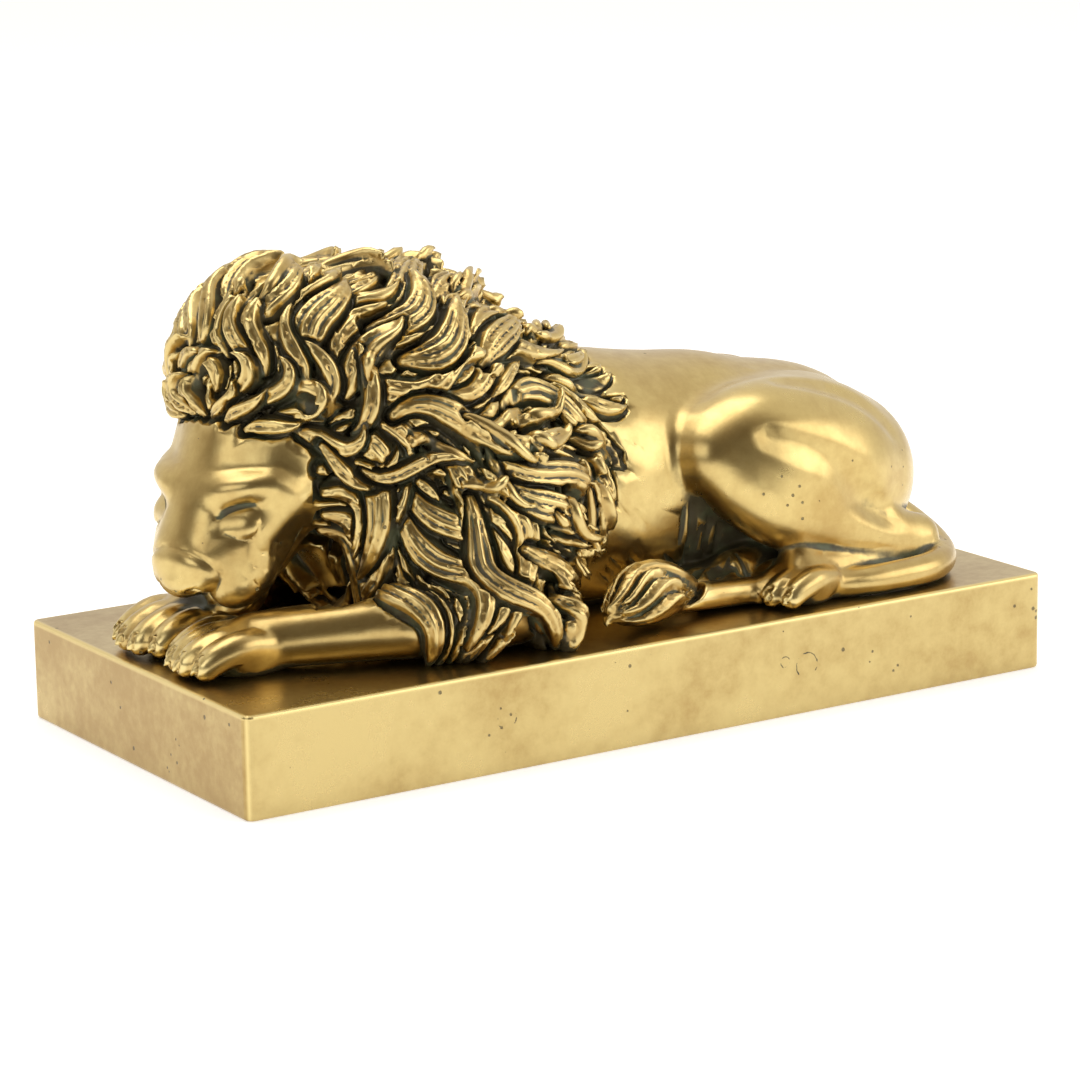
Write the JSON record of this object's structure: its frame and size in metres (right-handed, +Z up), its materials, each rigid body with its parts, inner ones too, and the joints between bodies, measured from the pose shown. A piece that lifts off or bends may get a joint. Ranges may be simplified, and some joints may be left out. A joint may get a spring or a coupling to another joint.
{
  "type": "sleeping lion figure on a plinth",
  "caption": "Gilt bronze figure of a sleeping lion, chin on its forearms and tail round its side, lying on a plain rectangular plinth.",
  "frame": {"origin": "middle of the plinth's underside, where it rests on a table", "axes": "+Z up, X along the plinth with the lion's head at -X, +Y to the lion's right side"},
  "size_m": [0.26, 0.124, 0.1337],
  "materials": {
    "gilt_bronze_figure": "burnished gilding worn warm on the high places, dark green-black patina in the hair, folds and hollows",
    "gilt_bronze_plinth": "satin gilding with faint mottling, fine casting pits and brighter worn edges"
  },
  "bodies": {
    "root": {"lion": "gilt_bronze_figure", "plinth": "gilt_bronze_plinth"}
  },
  "joints": []
}
